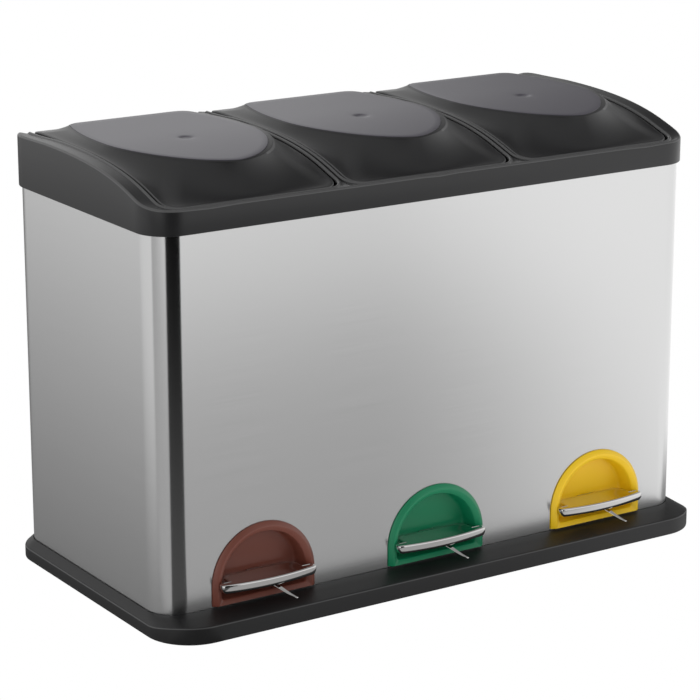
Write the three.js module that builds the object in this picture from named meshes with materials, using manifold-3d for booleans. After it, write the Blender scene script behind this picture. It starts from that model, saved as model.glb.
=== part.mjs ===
// Three-compartment recycling pedal bin.
// A steel-wrapped body stands on a moulded plinth and carries a moulded top frame with three hinged lids.
// Each lid is opened by its own pedal: the pedal lever rocks on a pin above the plinth's floor, its rear end
// lifts a push rod, and the rod's head lifts a crank on the lid. A removable bucket stands in each compartment.
// Millimetres, +Z up, front towards -Y, origin on the floor at the centre of the outer box.
import * as THREE from "three";
import { mergeVertices } from "three/addons/utils/BufferGeometryUtils.js";
import Module from "manifold-3d";

const wasm = await Module();
wasm.setup();

// ---------------------------------------------------------------- driving dimensions
const OVERALL_W = 600; // plinth, side to side
const OVERALL_D = 311.5; // plinth, front to back
const LEDGE_SIDE = 8.5; // plinth beyond the steel, at the sides and the back
const LEDGE_FRONT = 33; // plinth beyond the steel, at the front
const BODY_R = 28; // steel body's vertical corners
const STEEL = 1; // steel sheet
const GAP = 0.3; // between touching pieces
const PITCH = 187.5; // compartment to compartment
const COMPARTMENTS = [
  { side: "left", x: -PITCH, colour: 0x5d3a33 },
  { side: "centre", x: 0, colour: 0x16734a },
  { side: "right", x: PITCH, colour: 0xe0b21c },
];

const HALF_W = OVERALL_W / 2 - LEDGE_SIDE; // steel body's outer faces
const FRONT = -OVERALL_D / 2 + LEDGE_FRONT;
const BACK = OVERALL_D / 2 - LEDGE_SIDE;

// plinth
const PLINTH_LIFT = 1; // plinth's skirt above the floor, the feet reach down to it
const PLINTH_EDGE_Z = 12.5; // top of the upright outer wall
const PLINTH_TOP_Z = 20; // where the ledge meets the steel
const PLINTH_FRONT_R = 44;
const PLINTH_BACK_R = 36;
const FLOOR_LOW = 4;
const FLOOR_TOP = 7;
const STEEL_FOOT_Z = 10; // the steel stands in a groove in the plinth

// top frame
const FRAME_OUT = 3; // frame skirt beyond the steel
const FRAME_LOW = 362; // lower edge of the skirt
const FRAME_FRONT_Z = 385; // top edge at the front
const FRAME_BACK_Z = 413; // top edge towards the back
const FRAME_REAR_Z = 404; // where the top edge has rolled down to the rear wall
const FRAME_WALL = 3;
const STEEL_TOP_Z = 375;
const BEAD = 2; // height of the raised bead round the lids
const BEAD_INSET = 7; // the bead starts this far in from the skirt
const OPENING_HALF = 89; // lid opening, half width
const OPENING_FRONT = FRONT + 4;
const OPENING_BACK = 136;
const OPENING_R = 17;
const REAR_CUT_Z = 399.5; // rear wall behind each lid, low enough for the open lid
const SHELF_Z = 388; // rear shelf that carries the hinge lugs

// lids
const LID_HALF = 87;
const LID_FRONT = OPENING_FRONT + 2;
const LID_BACK = 134;
const LID_R = 15;
const LID_T = 2.5;
const LID_SKIRT = 6;
const PLATEAU_Z = 417.2; // flat top of a lid
const PLATEAU_FALL = 0.00029; // the top droops towards the front, by this much times the distance squared
const PLATEAU_HALF = 76;
const PLATEAU_FRONT = FRONT + 33.5;
const PLATEAU_MID = 17; // widest line of the flat
const PLATEAU_REAR = 117;
const PLATEAU_REAR_HALF = 60;
const BEVEL = 3; // narrow bevel round the flat
const PANEL_INSET = 0.5;
const PANEL_T = 1.5;
const PANEL_RECESS = 1.8;

// linkage
const PIVOT_Y = -28; // lever's pin
const PIVOT_Z = 19;
const PIN_R = 2.5;
const ROD_Y = 127; // push rod's axis
const ROD_R = 2.5;
const STRIP = 3; // lever strip's thickness
const STRIP_W = 16;
const LEVER_TRAVEL = THREE.MathUtils.degToRad(7.5);
const LID_TRAVEL = THREE.MathUtils.degToRad(75);
const ROD_TRAVEL = (ROD_Y - PIVOT_Y) * Math.sin(LEVER_TRAVEL);
const CRANK = ROD_TRAVEL / (2 * Math.sin(LID_TRAVEL / 2)); // crank pin's distance from the hinge
const HINGE_Y = ROD_Y + CRANK * Math.cos(LID_TRAVEL / 2);
const HINGE_Z = 398;
const CRANK_Z = HINGE_Z - CRANK * Math.sin(LID_TRAVEL / 2);
const CRANK_R = 3;
const HINGE_ROD_R = 2;
const PAD_GAP = 0.8; // free play between the lever, the rod and the crank
const LUG_X = 76; // frame's hinge lugs, from the lid's centre line
const KNUCKLE_X = 68;

// pedals
const PEDAL_HALF = 48.5;
const PEDAL_FRONT = FRONT - 18;
const PEDAL_SIDE_Y = FRONT - 7.5;
const PEDAL_TONGUE_HALF = 38;
const PEDAL_BACK = FRONT + 12;
const PEDAL_TOP = 43.5;
const PEDAL_LOW = 35.5;
const PEDAL_T = 1.5;

// coloured surrounds
const ARCH_HALF = 53.5;
const ARCH_CENTRE_Z = 37.5;
const ARCH_OUT = 4.5; // surround's face in front of the steel
const ARCH_FOOT_Z = 21;
const RECESS_HALF = 42;
const RECESS_LOW = 26;
const RECESS_DEEP = 16; // recess floor behind the steel's face

// buckets
const BUCKET_LOW = 48;
const BUCKET_TOP = 348;
const BUCKET_T = 2;
const BUCKET_FRONT = -102;
const BUCKET_BACK = 116;
const BUCKET_HALF = 88;
const BUCKET_TAPER = 9; // each side draws in by this much at the foot
const BAIL_Y = -3; // handle's pivot
const BAIL_Z = 353;

// ---------------------------------------------------------------- helpers
const V2 = (x, y) => new THREE.Vector2(x, y);
const V3 = (x, y, z) => new THREE.Vector3(x, y, z);
// local x, y, z of an extruded shape laid along the part's axes
const ALONG_X = new THREE.Matrix4().makeBasis(V3(0, 1, 0), V3(0, 0, 1), V3(1, 0, 0));
const ALONG_MINUS_Y = new THREE.Matrix4().makeBasis(V3(1, 0, 0), V3(0, 0, 1), V3(0, -1, 0));

// A closed geometry as a solid that can be joined and cut.
function solid(geometry) {
  const bare = geometry.clone();
  bare.deleteAttribute("normal");
  bare.deleteAttribute("uv");
  const merged = mergeVertices(bare, 1e-4);
  const mesh = new wasm.Mesh({
    numProp: 3,
    vertProperties: merged.attributes.position.array,
    triVerts: new Uint32Array(merged.index.array),
  });
  return new wasm.Manifold(mesh);
}

// A solid back to a geometry.
function geometryOf(body) {
  const mesh = body.getMesh();
  const geometry = new THREE.BufferGeometry();
  geometry.setAttribute("position", new THREE.BufferAttribute(new Float32Array(mesh.vertProperties), 3));
  geometry.setIndex(new THREE.BufferAttribute(new Uint32Array(mesh.triVerts), 1));
  geometry.computeVertexNormals();
  return geometry;
}

const join = (first, ...rest) => rest.reduce((sum, next) => sum.add(next), first);
const cut = (first, ...rest) => rest.reduce((left, next) => left.subtract(next), first);

function extrude(points, depth, holes = []) {
  const shape = new THREE.Shape(points);
  shape.holes = holes.map((hole) => new THREE.Path(hole));
  return new THREE.ExtrudeGeometry(shape, { depth, bevelEnabled: false });
}

const prism = (points, low, high, holes) => solid(extrude(points, high - low, holes).translate(0, 0, low));
const acrossX = (points, x0, x1) => solid(extrude(points, x1 - x0).applyMatrix4(ALONG_X).translate(x0, 0, 0));
const acrossY = (points, y0, y1) => solid(extrude(points, y1 - y0).applyMatrix4(ALONG_MINUS_Y).translate(0, y1, 0));

function box(x0, x1, y0, y1, z0, z1) {
  const geometry = new THREE.BoxGeometry(x1 - x0, y1 - y0, z1 - z0);
  return solid(geometry.translate((x0 + x1) / 2, (y0 + y1) / 2, (z0 + z1) / 2));
}

function cylinder(radius, height, axis, x, y, z, sides = 16) {
  const geometry = new THREE.CylinderGeometry(radius, radius, height, sides);
  if (axis === "x") geometry.rotateZ(Math.PI / 2);
  if (axis === "z") geometry.rotateX(Math.PI / 2);
  return solid(geometry.translate(x, y, z));
}

function arc(cx, cy, rx, ry, from, to, steps) {
  const points = [];
  for (let i = 0; i <= steps; i++) {
    const a = from + ((to - from) * i) / steps;
    points.push(V2(cx + rx * Math.cos(a), cy + ry * Math.sin(a)));
  }
  return points;
}

// Rounded rectangle, anticlockwise from above, with its own radius at the front and at the back.
function roundedRect(x0, x1, y0, y1, front, back = front, steps = 5) {
  const quarter = Math.PI / 2;
  return [
    ...arc(x1 - front, y0 + front, front, front, -quarter, 0, steps),
    ...arc(x1 - back, y1 - back, back, back, 0, quarter, steps),
    ...arc(x0 + back, y1 - back, back, back, quarter, 2 * quarter, steps),
    ...arc(x0 + front, y0 + front, front, front, 2 * quarter, 3 * quarter, steps),
  ];
}

// The body's outline grown by some distance.
const bodyOutline = (grow) =>
  roundedRect(-HALF_W - grow, HALF_W + grow, FRONT - grow, BACK + grow, BODY_R + grow, BODY_R + grow);

// A closed body through rings of equal length, capped at the first and the last ring.
function loft(rings) {
  const count = rings[0].length;
  const positions = rings.flat().flatMap((p) => [p.x, p.y, p.z]);
  const indices = [];
  for (let r = 0; r + 1 < rings.length; r++) {
    for (let i = 0; i < count; i++) {
      const a = r * count + i;
      const b = r * count + ((i + 1) % count);
      indices.push(a, b, b + count, a, b + count, a + count);
    }
  }
  const cap = (ring, offset, up) => {
    const flat = ring.map((p) => V2(p.x, p.y));
    for (const [a, b, c] of THREE.ShapeUtils.triangulateShape(flat, [])) {
      if (up) indices.push(a + offset, b + offset, c + offset);
      else indices.push(a + offset, c + offset, b + offset);
    }
  };
  cap(rings[0], 0, false);
  cap(rings.at(-1), (rings.length - 1) * count, true);
  const geometry = new THREE.BufferGeometry();
  geometry.setAttribute("position", new THREE.BufferAttribute(new Float32Array(positions), 3));
  geometry.setIndex(indices);
  return geometry;
}

// A closed bar through four-cornered rings.
function tube(rings) {
  const positions = rings.flat().flatMap((p) => [p.x, p.y, p.z]);
  const indices = [];
  for (let r = 0; r + 1 < rings.length; r++) {
    for (let i = 0; i < 4; i++) {
      const a = 4 * r + i;
      const b = 4 * r + ((i + 1) % 4);
      indices.push(a, b, b + 4, a, b + 4, a + 4);
    }
  }
  const last = 4 * (rings.length - 1);
  indices.push(0, 2, 1, 0, 3, 2, last, last + 1, last + 2, last, last + 2, last + 3);
  const geometry = new THREE.BufferGeometry();
  geometry.setAttribute("position", new THREE.BufferAttribute(new Float32Array(positions), 3));
  geometry.setIndex(indices);
  return geometry;
}

const ring = (points, z) => points.map((p) => V3(p.x, p.y, typeof z === "function" ? z(p) : z));

// ---------------------------------------------------------------- shared curves
// Side view of the frame's top edge: level at the back, bending down to the low front.
const profile = new THREE.CubicBezierCurve(
  V2(FRONT - FRAME_OUT, FRAME_FRONT_Z),
  V2(FRONT + 35, FRAME_FRONT_Z + 1),
  V2(FRONT + 43, FRAME_BACK_Z - 2.5),
  V2(FRONT + 175, FRAME_BACK_Z - 1),
);
const profilePoints = [
  ...profile.getPoints(14),
  V2(BACK - 17, FRAME_BACK_Z),
  V2(BACK - 9, FRAME_BACK_Z - 1),
  V2(BACK - 2, FRAME_BACK_Z - 4.5),
  V2(BACK + FRAME_OUT, FRAME_REAR_Z),
];

function profileZ(y) {
  if (y <= profilePoints[0].x) return FRAME_FRONT_Z;
  const next = profilePoints.findIndex((p) => p.x >= y);
  if (next < 0) return FRAME_REAR_Z;
  const [a, b] = [profilePoints[next - 1], profilePoints[next]];
  return a.y + ((b.y - a.y) * (y - a.x)) / (b.x - a.x);
}

// Everything below the frame's top edge, lowered by some distance.
function underProfile(lower, x0, x1) {
  const low = FRAME_LOW - 20;
  const top = profilePoints.map((p) => V2(p.x, p.y - lower));
  return acrossX(
    [
      V2(FRONT - 20, low),
      V2(BACK + 20, low),
      V2(BACK + 20, FRAME_REAR_Z - lower),
      ...top.reverse(),
      V2(FRONT - 20, FRAME_FRONT_Z - lower),
    ],
    x0,
    x1,
  );
}

// Height of the lid's top, which droops towards the front.
const plateauZ = (y) => PLATEAU_Z - PLATEAU_FALL * Math.max(0, 32 - y) ** 2;

// Plan of a lid's flat top: a blunt nose in front, sides drawing in towards the straight rear edge.
function plateauOutline(inset) {
  const half = PLATEAU_HALF - inset;
  const tip = PLATEAU_FRONT + inset;
  const rear = PLATEAU_REAR - inset;
  const side = [V2(0, tip)];
  for (let i = 11; i >= 0; i--) {
    const s = Math.sin((Math.PI / 2) * (i / 12));
    side.push(V2(half * (1 - s ** 1.8) ** 0.62, PLATEAU_MID - (PLATEAU_MID - tip) * s));
  }
  for (const u of [0.35, 0.65, 0.9]) {
    const x = half - (PLATEAU_HALF - PLATEAU_REAR_HALF) * u ** 2.2;
    side.push(V2(x, PLATEAU_MID + (rear - PLATEAU_MID) * u));
  }
  side.push(V2(PLATEAU_REAR_HALF - inset - 1, rear - 4));
  side.push(V2(PLATEAU_REAR_HALF - inset - 6, rear));
  const other = side.slice(1).reverse();
  return [...side, ...other.map((p) => V2(-p.x, p.y))];
}

// Distance from the centre (0, PLATEAU_MID) to a closed outline in some direction.
function reach(outline, angle) {
  const direction = V2(Math.cos(angle), Math.sin(angle));
  let best = 0;
  outline.forEach((p, i) => {
    const q = outline[(i + 1) % outline.length];
    const a = p.clone().sub(V2(0, PLATEAU_MID));
    const edge = q.clone().sub(p);
    const cross = direction.cross(edge);
    if (Math.abs(cross) < 1e-9) return;
    const along = a.cross(edge) / cross;
    const share = a.cross(direction) / cross;
    if (share >= -1e-9 && share <= 1 + 1e-9) best = Math.max(best, along);
  });
  return best;
}

// Semicircular arch on straight legs, in the front view, inset from its outer edge.
function archOutline(half, low, cornerR = 0) {
  const legs = cornerR
    ? [
        ...arc(-half + cornerR, low + cornerR, cornerR, cornerR, Math.PI, 1.5 * Math.PI, 3),
        ...arc(half - cornerR, low + cornerR, cornerR, cornerR, 1.5 * Math.PI, 2 * Math.PI, 3),
      ]
    : [V2(-half, low), V2(half, low)];
  return [...legs, ...arc(0, ARCH_CENTRE_Z, half, half, 0, Math.PI, 18)];
}

// ---------------------------------------------------------------- fixed pieces
const pivotBore = (x, radius) => cylinder(radius, 40, "x", x, PIVOT_Y, PIVOT_Z);

function basePlinth() {
  const outline = (grow, frontR, backR) =>
    roundedRect(
      -OVERALL_W / 2 - grow,
      OVERALL_W / 2 + grow,
      -OVERALL_D / 2 - grow,
      OVERALL_D / 2 + grow,
      frontR + grow,
      backR + grow,
    );
  const body = solid(
    loft([
      ring(outline(0, PLINTH_FRONT_R, PLINTH_BACK_R), PLINTH_LIFT),
      ring(outline(0, PLINTH_FRONT_R, PLINTH_BACK_R), PLINTH_EDGE_Z),
      ring(bodyOutline(0.8), PLINTH_TOP_Z),
    ]),
  );
  const groove = prism(bodyOutline(GAP), STEEL_FOOT_Z - GAP, 60, [bodyOutline(-STEEL - GAP)]);
  const inside = prism(bodyOutline(-STEEL - 5), FLOOR_TOP, 60);
  const under = prism(outline(-4, PLINTH_FRONT_R, PLINTH_BACK_R), -1, FLOOR_LOW);
  const rebate = prism(bodyOutline(-STEEL - GAP), PLINTH_TOP_Z - 4, 60);
  let made = cut(body, groove, inside, under, rebate);
  for (const { x } of COMPARTMENTS) {
    for (const side of [-1, 1]) {
      const rail = x + side * 62;
      made = made.add(box(rail - 3, rail + 3, BUCKET_FRONT + 20, BUCKET_BACK - 22, FLOOR_TOP - 1, BUCKET_LOW - GAP));
      const cheek = x + side * (STRIP_W / 2 + 3);
      made = made.add(box(cheek - 2, cheek + 2, PIVOT_Y - 9, PIVOT_Y + 9, FLOOR_TOP - 1, PIVOT_Z + 7));
    }
    made = made.subtract(pivotBore(x, PIN_R + GAP));
    made = made.subtract(surroundTray(x, GAP));
  }
  for (const [x, y] of FEET) made = join(made, cylinder(15, FLOOR_LOW - PLINTH_LIFT, "z", x, y, 2.5, 20));
  for (const [x, y] of FEET) made = cut(made, cylinder(12 + GAP, 8, "z", x, y, -1.2, 20));
  return made;
}

const FEET = [
  [-262, FRONT + 4],
  [262, FRONT + 4],
  [-262, BACK - 32],
  [262, BACK - 32],
];

// A foot is pressed into a round pocket under the plinth.
const rubberFoot = ([x, y]) => cylinder(12, 2.4, "z", x, y, 1.2, 20);

function steelBody() {
  let made = prism(bodyOutline(0), STEEL_FOOT_Z, STEEL_TOP_Z, [bodyOutline(-STEEL)]);
  for (const { x } of COMPARTMENTS) {
    const window = acrossY(archOutline(ARCH_HALF - 4, PLINTH_TOP_Z + 3), FRONT - 10, FRONT + 10);
    made = made.subtract(window.translate([x, 0, 0]));
  }
  return made;
}

function topFrame() {
  const outer = FRAME_OUT;
  const low = FRAME_LOW;
  const high = FRAME_BACK_Z + 20;
  const skirt = prism(bodyOutline(outer), low, high).intersect(underProfile(BEAD, -HALF_W - 20, HALF_W + 20));
  const bead = prism(bodyOutline(outer - BEAD_INSET), low, high);
  const beadTop = bead.intersect(underProfile(0, -HALF_W - 20, HALF_W + 20));
  const hollow = prism(bodyOutline(outer - FRAME_WALL), low - 1, high).intersect(
    underProfile(BEAD + FRAME_WALL, -HALF_W - 20, HALF_W + 20),
  );
  const seat = prism(bodyOutline(GAP), low - 1, STEEL_TOP_Z + GAP);
  const throat = (grow) =>
    roundedRect(-OPENING_HALF - grow, OPENING_HALF + grow, OPENING_FRONT - grow, OPENING_BACK + grow, OPENING_R, 4, 4);
  let made = cut(join(skirt, beadTop), hollow);
  for (const { x } of COMPARTMENTS) {
    const collar = prism(throat(2.5), low + 8, high).intersect(underProfile(1, -200, 200));
    made = made.add(collar.translate([x, 0, 0]));
  }
  made = cut(made, seat.subtract(prism(bodyOutline(-STEEL - GAP), low - 2, high)));
  const swing = box(-HALF_W + 9, HALF_W - 9, OPENING_BACK - 6, BACK + FRAME_OUT - FRAME_WALL, SHELF_Z, high);
  const shelf = box(-HALF_W + 5, HALF_W - 5, OPENING_BACK - 1, BACK - 1.6, SHELF_Z - 3, SHELF_Z);
  made = made.subtract(swing).add(shelf);
  for (const { x } of COMPARTMENTS) {
    made = made.subtract(prism(throat(0), low - 5, high).translate([x, 0, 0]));
    made = made.subtract(box(x - OPENING_HALF, x + OPENING_HALF, OPENING_BACK - 6, BACK + 20, REAR_CUT_Z, high));
    for (const side of [-1, 1]) {
      const lug = acrossX(
        [
          V2(OPENING_BACK - 1.2, SHELF_Z - 1),
          V2(HINGE_Y + 9, SHELF_Z - 1),
          ...arc(HINGE_Y, HINGE_Z, 4.5, 4.5, 0, Math.PI, 8),
        ],
        x + side * LUG_X - 2.5,
        x + side * LUG_X + 2.5,
      );
      made = made.add(lug);
    }
    made = made.subtract(cylinder(HINGE_ROD_R + GAP, 2 * LUG_X + 9, "x", x, HINGE_Y, HINGE_Z));
  }
  return made;
}

const hingeRod = (x) => cylinder(HINGE_ROD_R, 2 * LUG_X + 8, "x", x, HINGE_Y, HINGE_Z);
const pivotPin = (x) => cylinder(PIN_R, STRIP_W + 12, "x", x, PIVOT_Y, PIVOT_Z);

// The room that a surround's tray takes behind the steel, grown by some distance.
function surroundTray(x, grow) {
  const half = ARCH_HALF - 4.5 + grow;
  const outline = archOutline(half, PLINTH_TOP_Z + 3.5 - grow);
  return acrossY(outline, FRONT - ARCH_OUT, FRONT + RECESS_DEEP + 2 + grow).translate([x, 0, 0]);
}

// Coloured surround: a bead-edged face on the steel, a recess behind it and a slot for the lever.
function surround(x) {
  const face = acrossY(archOutline(ARCH_HALF, ARCH_FOOT_Z), FRONT - 3, FRONT - GAP);
  const bead = acrossY(archOutline(ARCH_HALF - 4, ARCH_FOOT_Z), FRONT - ARCH_OUT, FRONT - 2);
  const tray = acrossY(archOutline(ARCH_HALF - 4.5, PLINTH_TOP_Z + 3.5), FRONT - 3, FRONT + RECESS_DEEP + 2);
  const recess = acrossY(archOutline(RECESS_HALF, RECESS_LOW, 4), FRONT - 20, FRONT + RECESS_DEEP);
  const slot = box(-STRIP_W / 2 - 3, STRIP_W / 2 + 3, FRONT - 20, FRONT + 30, RECESS_LOW - 1.4, PEDAL_TOP + 3);
  return cut(join(face, bead, tray), recess, slot).translate([x, 0, 0]);
}

// Rod guide clipped to the rear wall.
function rodGuide(x) {
  const made = box(x - 8, x + 8, ROD_Y - 7, BACK - STEEL - GAP, 196, 204);
  return made.subtract(cylinder(ROD_R + 0.6, 20, "z", x, ROD_Y, 200));
}

// ---------------------------------------------------------------- moving pieces
function pedalOutline(inset) {
  const half = PEDAL_HALF - inset;
  const tongue = PEDAL_TONGUE_HALF - inset;
  const bulge = PEDAL_SIDE_Y - PEDAL_FRONT;
  const radius = (PEDAL_HALF ** 2 + bulge ** 2) / (2 * bulge);
  const sweep = Math.asin(half / (radius - inset));
  const centre = PEDAL_FRONT + radius;
  const rear = PEDAL_BACK - inset;
  return [
    V2(tongue, FRONT + 1),
    V2(tongue - 2, rear - 6),
    V2(tongue - 12, rear),
    V2(-tongue + 12, rear),
    V2(-tongue + 2, rear - 6),
    V2(-tongue, FRONT + 1),
    V2(-tongue - 1, PEDAL_SIDE_Y + 2 - inset),
    ...arc(0, centre, radius - inset, radius - inset, 1.5 * Math.PI - sweep, 1.5 * Math.PI + sweep, 14),
    V2(tongue + 1, PEDAL_SIDE_Y + 2 - inset),
  ];
}

// Pressed steel pedal: a half-moon plate with its edge folded down, drawn back into the recess.
function pedal(x) {
  const plate = prism(pedalOutline(0), PEDAL_LOW, PEDAL_TOP);
  const hollow = prism(pedalOutline(PEDAL_T), PEDAL_LOW - 1, PEDAL_TOP - PEDAL_T);
  const behind = box(-60, 60, FRONT - 4, FRONT + 40, PEDAL_LOW - 1, PEDAL_TOP - PEDAL_T);
  return cut(plate, hollow, behind).translate([x, 0, 0]);
}

// Lever: a bent steel strip with a pivot barrel.
function lever(x) {
  const top = PEDAL_TOP - PEDAL_T - GAP;
  const high = top - STRIP / 2;
  const rear = ROD_Y + 4;
  const half = STRIP / 2;
  const bendHigh = FRONT + 20;
  const bendLow = FRONT + 44;
  const side = [
    V2(PEDAL_FRONT + 4, high - half),
    V2(bendHigh - 1, high - half),
    V2(bendLow - 1, PIVOT_Z - half),
    V2(rear, PIVOT_Z - half),
    V2(rear, PIVOT_Z + half),
    V2(bendLow + 1, PIVOT_Z + half),
    V2(bendHigh + 1, high + half),
    V2(PEDAL_FRONT + 4, high + half),
  ];
  const strip = acrossX(side, x - STRIP_W / 2, x + STRIP_W / 2);
  const barrel = cylinder(PIN_R + 3, STRIP_W, "x", x, PIVOT_Y, PIVOT_Z);
  return join(strip, barrel).subtract(pivotBore(x, PIN_R + GAP));
}

// Leaf spring: a tapering strip from under the lever's front, slanting forward down to the ledge.
function leafSpring(x) {
  const top = PEDAL_TOP - PEDAL_T - STRIP - 2 * GAP;
  const foot = PLINTH_TOP_Z + 0.4;
  const rings = [0, 0.08, 0.5, 0.94, 1].map((u) => {
    const along = u < 0.08 ? 0 : u > 0.94 ? 1 : (u - 0.08) / 0.86;
    const z = top - 1 - (top - 1 - foot) * along;
    const y = FRONT - 5 - 17 * u;
    const cx = 3 + 19 * u;
    const half = 3.5 - 1.5 * u;
    return [V3(cx - half, y, z), V3(cx + half, y, z), V3(cx + half, y, z + 1), V3(cx - half, y, z + 1)];
  });
  return solid(tube(rings)).translate([x, 0, 0]);
}

const ROD_FOOT_Z = PIVOT_Z + STRIP / 2 + PAD_GAP;
const ROD_HEAD_Z = CRANK_Z - CRANK_R - PAD_GAP;

function pushRod(x) {
  const pad = 3;
  const middle = (ROD_FOOT_Z + ROD_HEAD_Z) / 2;
  return join(
    cylinder(ROD_R, ROD_HEAD_Z - ROD_FOOT_Z, "z", x, ROD_Y, middle, 12),
    cylinder(5, pad, "z", x, ROD_Y, ROD_FOOT_Z + pad / 2, 12),
    cylinder(6, pad, "z", x, ROD_Y, ROD_HEAD_Z - pad / 2, 12),
  );
}

// Plan of a lid's edge, inset by some distance and divided into short lengths.
function lidOutline(inset) {
  const cornersAt = (t) =>
    roundedRect(-LID_HALF + t, LID_HALF - t, LID_FRONT + t, LID_BACK - t, LID_R - t, 4, 4);
  const corners = cornersAt(inset);
  const outer = cornersAt(0);
  return corners.flatMap((p, i) => {
    const next = (i + 1) % corners.length;
    const q = corners[next];
    const parts = Math.max(1, Math.round(outer[i].distanceTo(outer[next]) / 30));
    return Array.from({ length: parts }, (_, k) => p.clone().lerp(q, k / parts));
  });
}

// Plan of the flat top, with one point in the direction of each point of the lid's edge.
function flatOutline(inset) {
  const shape = plateauOutline(inset);
  return lidOutline(0).map((p) => {
    const a = Math.atan2(p.y - PLATEAU_MID, p.x);
    const r = reach(shape, a);
    return V2(r * Math.cos(a), PLATEAU_MID + r * Math.sin(a));
  });
}

// Lid shell: skirt, scooped sides rising to the flat top, and the same again on the inside.
function lidShell() {
  const edge = lidOutline(0);
  const inner = lidOutline(LID_T);
  const edgeZ = (p) => Math.min(profileZ(p.y), FRAME_BACK_Z - 0.5) - 1 - 2.5 * Math.max(0, (p.y - 120) / 14);
  const topZ = (lower) => (p) => plateauZ(p.y) - lower;
  const crease = flatOutline(-1);
  const bevel = flatOutline(BEVEL - 1);
  const seat = flatOutline(BEVEL - 0.5);
  const inside = flatOutline(BEVEL + 1);
  // the scooped side falls fast at the flat and runs out towards the edge
  const scoop = (share, from, to, drop) =>
    from.map((p, i) => {
      const q = to[i];
      const high = plateauZ(p.y) - 1.2;
      const z = high + (edgeZ(q) - high) * (1 - (1 - share) ** 1.6);
      return V3(p.x + (q.x - p.x) * share, p.y + (q.y - p.y) * share, z - drop);
    });
  return loft([
    ring(inside, topZ(PANEL_RECESS + LID_T)),
    scoop(0.25, inside, inner, LID_T),
    scoop(0.6, inside, inner, LID_T),
    ring(inner, (p) => edgeZ(p) - LID_T),
    ring(inner, (p) => edgeZ(p) - LID_SKIRT),
    ring(edge, (p) => edgeZ(p) - LID_SKIRT),
    ring(edge, edgeZ),
    scoop(0.6, crease, edge, 0),
    scoop(0.25, crease, edge, 0),
    ring(crease, topZ(1.2)),
    ring(bevel, topZ(0)),
    ring(seat, topZ(0)),
    ring(seat, topZ(PANEL_RECESS)),
  ]);
}

function lid(x) {
  let made = solid(lidShell());
  // crank that the push rod lifts
  const under = PLATEAU_Z - 9;
  const web = box(-3, 3, ROD_Y - CRANK_R, ROD_Y + CRANK_R, CRANK_Z, under);
  made = join(made, web, cylinder(CRANK_R, 10, "x", 0, ROD_Y, CRANK_Z));
  for (const side of [-1, 1]) {
    const knuckle = acrossX(
      [
        V2(LID_BACK - 8, HINGE_Z + 5),
        ...arc(HINGE_Y, HINGE_Z, 5, 5, Math.PI, 2 * Math.PI, 8),
        V2(HINGE_Y + 3, HINGE_Z + 5),
        V2(LID_BACK - 1, HINGE_Z + 9.5),
        V2(LID_BACK - 8, HINGE_Z + 11),
      ],
      side * KNUCKLE_X - 3,
      side * KNUCKLE_X + 3,
    );
    made = made.add(knuckle);
  }
  made = made.subtract(cylinder(HINGE_ROD_R + GAP, 300, "x", 0, HINGE_Y, HINGE_Z));
  return made.translate([x, 0, 0]);
}

// Smoky insert in the lid's top, which follows the droop.
function lidPanel(x) {
  const outline = flatOutline(BEVEL - 0.5 + PANEL_INSET);
  const low = (p) => plateauZ(p.y) - PANEL_RECESS + 2 * GAP;
  const slab = prism(outline, PLATEAU_Z - 20, PLATEAU_Z + 5);
  const rows = [-95, -70, -45, -20, 5, 32, 125];
  const upper = rows.map((y) => V2(y, low({ y }) + PANEL_T));
  const lower = rows.map((y) => V2(y, low({ y }))).reverse();
  return slab.intersect(acrossX([...lower, ...upper], -100, 100)).translate([x, 0, 0]);
}

// ---------------------------------------------------------------- buckets
function bucket(x) {
  const at = (inset, z) =>
    ring(roundedRect(-BUCKET_HALF + inset, BUCKET_HALF - inset, BUCKET_FRONT + inset, BUCKET_BACK - inset, 22), z);
  const lip = 3;
  const made = loft([
    at(lip + BUCKET_TAPER + BUCKET_T, BUCKET_LOW + BUCKET_T),
    at(lip + BUCKET_T, BUCKET_TOP),
    at(0, BUCKET_TOP),
    at(0, BUCKET_TOP - 6),
    at(lip, BUCKET_TOP - 6),
    at(lip + BUCKET_TAPER, BUCKET_LOW),
  ]);
  const ear = (side) => {
    const middle = side * (BUCKET_HALF - 7.5);
    const shape = [
      V2(BAIL_Y - 5, BUCKET_TOP - 4),
      V2(BAIL_Y + 5, BUCKET_TOP - 4),
      ...arc(BAIL_Y, BAIL_Z, 4.5, 4.5, 0, Math.PI, 6),
    ];
    return acrossX(shape, middle - 2.5, middle + 2.5);
  };
  const bores = cylinder(1.6 + GAP, 300, "x", 0, BAIL_Y, BAIL_Z, 10);
  // the first ring is the inside of the floor, so the loft comes out inside out
  const shell = solid(flipped(made));
  return cut(join(shell, ear(-1), ear(1)), bores).translate([x, 0, 0]);
}

// The same surface with every triangle turned round.
function flipped(geometry) {
  const index = geometry.index.array;
  for (let i = 0; i < index.length; i += 3) [index[i + 1], index[i + 2]] = [index[i + 2], index[i + 1]];
  return geometry;
}

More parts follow.
